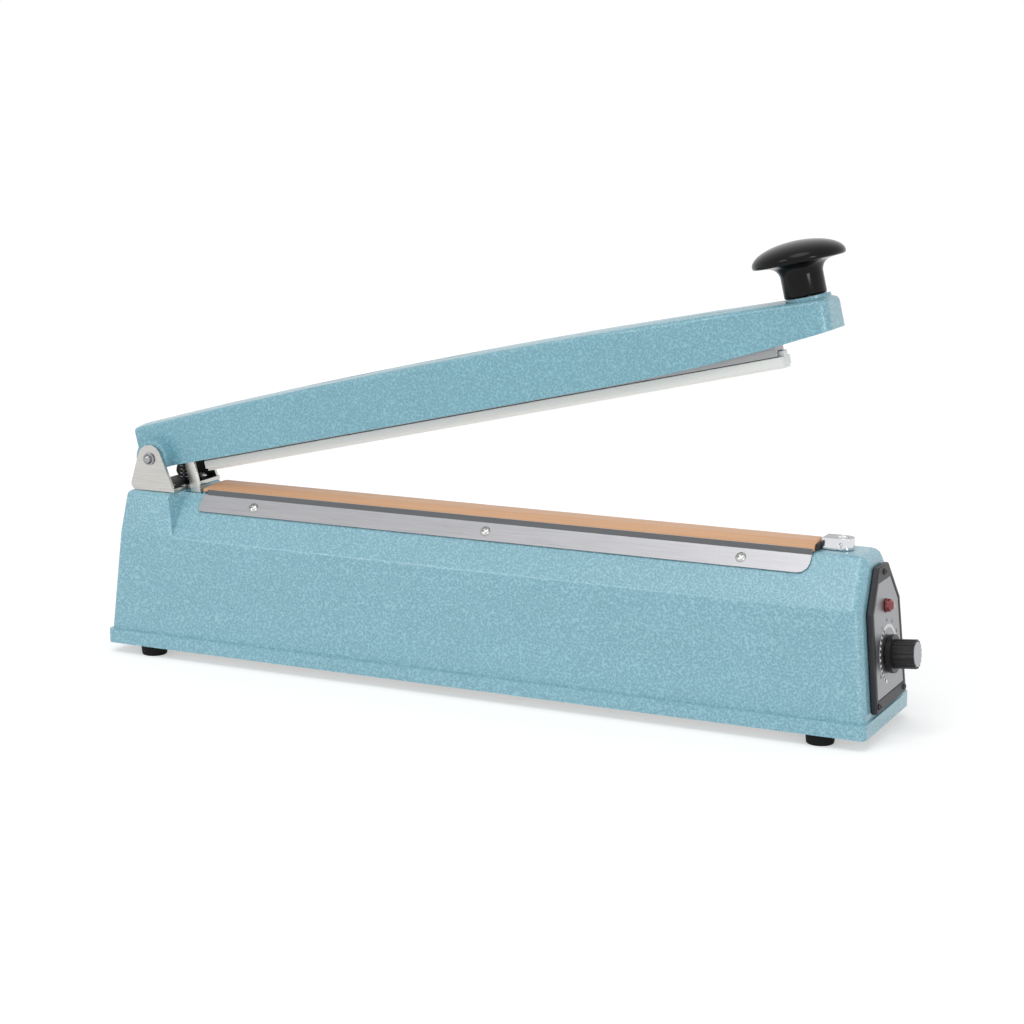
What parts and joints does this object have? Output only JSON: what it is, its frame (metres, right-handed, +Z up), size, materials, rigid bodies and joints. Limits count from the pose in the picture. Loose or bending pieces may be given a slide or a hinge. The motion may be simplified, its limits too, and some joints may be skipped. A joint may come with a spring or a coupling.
{
  "type": "impulse sealer",
  "caption": "Hand impulse bag sealer: hinged pressing arm with mushroom knob, held open by a spring over a heated strip, with a timer knob and pilot lamp on the end panel.",
  "frame": {"origin": "centre of the bounding box in plan, on the surface that the feet stand on", "axes": "+X along the heated strip from the hinge towards the control panel, +Y towards the back as the operator stands at the timer end's left side, +Z up"},
  "size_m": [0.548, 0.088, 0.2935],
  "materials": {
    "hammered_paint": "light blue hammered enamel on a casting",
    "stainless_steel": "satin stainless sheet and bar",
    "zinc_plate": "zinc plate",
    "chrome_plate": "bright plating",
    "aluminium": "plain aluminium",
    "black_plastic": "glossy black moulding",
    "charcoal_plastic": "charcoal moulding",
    "white_plastic": "white moulding",
    "grey_face": "grey panel face",
    "black_rubber": "black rubber",
    "white_silicone": "white silicone rubber",
    "tan_cloth": "tan coated glass cloth",
    "red_lens": "dark red lens",
    "insulating_board": "dark insulating board",
    "nichrome": "resistance ribbon",
    "circuit_board": "green circuit board",
    "laminations": "steel laminations",
    "enamelled_copper": "enamelled copper winding"
  },
  "bodies": {
    "base": {"base_casting": "hammered_paint", "bottom_cover": "zinc_plate", "rubber_foot_1": "black_rubber", "rubber_foot_2": "black_rubber", "rubber_foot_3": "black_rubber", "rubber_foot_4": "black_rubber", "cover_screw_1": "zinc_plate", "cover_screw_2": "zinc_plate", "cover_screw_3": "zinc_plate", "cover_screw_4": "zinc_plate", "hinge_bracket": "stainless_steel", "hinge_pin": "stainless_steel", "pin_nut": "zinc_plate", "bracket_screw_1": "zinc_plate", "bracket_screw_2": "zinc_plate", "element_insulator": "insulating_board", "heating_element": "nichrome", "ptfe_cloth": "tan_cloth", "front_trim": "stainless_steel", "front_trim_screw_1": "zinc_plate", "front_trim_screw_2": "zinc_plate", "front_trim_screw_3": "zinc_plate", "rear_trim": "stainless_steel", "rear_trim_screw_1": "zinc_plate", "rear_trim_screw_2": "zinc_plate", "rear_trim_screw_3": "zinc_plate", "end_post": "chrome_plate", "end_post_screw": "chrome_plate", "panel_bezel": "charcoal_plastic", "panel_plate": "grey_face", "panel_screw_1": "zinc_plate", "panel_screw_2": "zinc_plate", "panel_screw_3": "zinc_plate", "lamp_holder": "black_plastic", "lamp_lens": "red_lens", "potentiometer": "zinc_plate", "timer_board": "circuit_board", "timer_relay": "black_plastic", "transformer_core": "laminations", "transformer_winding": "enamelled_copper", "micro_switch": "black_plastic", "switch_plate": "zinc_plate", "cord_inlet": "black_rubber", "return_spring": "stainless_steel", "spring_guide": "black_plastic"},
    "arm": {"arm_casting": "hammered_paint", "pressure_bar": "aluminium", "silicone_strip": "white_silicone", "bar_post_1": "zinc_plate", "bar_post_2": "zinc_plate", "bar_post_3": "zinc_plate", "arm_knob": "black_plastic", "knob_stud": "zinc_plate", "switch_blade": "zinc_plate", "blade_screw": "zinc_plate"},
    "timer": {"timer_knob": "black_plastic", "knob_cap": "aluminium", "timer_shaft": "aluminium"},
    "switch": {"switch_button": "white_plastic"}
  },
  "joints": [
    {"name": "arm_hinge", "type": "hinge", "parent": "base", "child": "arm", "pos_m": [-0.24695, 0, 0.1318], "axis": [0, -1, 0], "range_deg": [-13.1, 41.9], "stiffness_Nm_per_rad": 14, "springref_deg": 13.18, "deforming": ["return_spring"]},
    {"name": "timer_turn", "type": "hinge", "parent": "base", "child": "timer", "pos_m": [0.25156, 0, 0.0492], "axis": [0.9959, 0, 0.0902], "range_deg": [-150, 150]},
    {"name": "button_press", "type": "slide", "parent": "base", "child": "switch", "axis": [0, 0, -1], "range_m": [0, 0.0015], "stiffness_N_per_m": 400, "springref_m": -0.0005}
  ]
}
